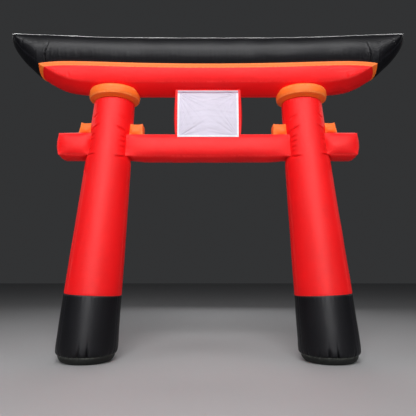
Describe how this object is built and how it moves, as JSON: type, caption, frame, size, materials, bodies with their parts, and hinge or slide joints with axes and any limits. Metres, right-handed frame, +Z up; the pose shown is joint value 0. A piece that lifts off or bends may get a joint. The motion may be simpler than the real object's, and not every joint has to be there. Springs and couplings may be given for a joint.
{
  "type": "inflatable torii gate arch",
  "caption": "Inflated cloth walk-through gate: two leaning round legs, a square crossbar, a small name board and an upswept black and red roof beam.",
  "frame": {"origin": "on the ground, midway between the two feet", "axes": "+Z up, X along the beams, the name board faces -Y"},
  "size_m": [5.4762, 0.787, 4.4138],
  "materials": {
    "red_cloth": "coated nylon, satin, bright scarlet",
    "black_cloth": "coated nylon, satin black",
    "orange_cloth": "coated nylon, satin orange",
    "sole_cloth": "coarse ground cloth, dull dark grey",
    "white_cloth": "plain woven polyester, slightly wrinkled",
    "white_tape": "folded binding tape, bright white"
  },
  "bodies": {
    "root": {"leg_left": "red_cloth", "leg_right": "red_cloth", "foot_left": "black_cloth", "foot_right": "black_cloth", "sole_left": "sole_cloth", "sole_right": "sole_cloth", "collar_left": "orange_cloth", "collar_right": "orange_cloth", "roof_beam_black": "black_cloth", "roof_beam_belt": "orange_cloth", "roof_beam_red": "red_cloth", "crossbar_middle": "red_cloth", "crossbar_end_left": "red_cloth", "crossbar_end_right": "red_cloth", "wedge_left_outer": "orange_cloth", "wedge_left_inner": "orange_cloth", "wedge_right_inner": "orange_cloth", "wedge_right_outer": "orange_cloth", "tablet_box": "red_cloth", "name_board": "white_cloth", "board_tape_left": "white_tape", "board_tape_right": "white_tape", "board_tape_top": "white_tape", "board_tape_bottom": "white_tape"}
  },
  "joints": []
}
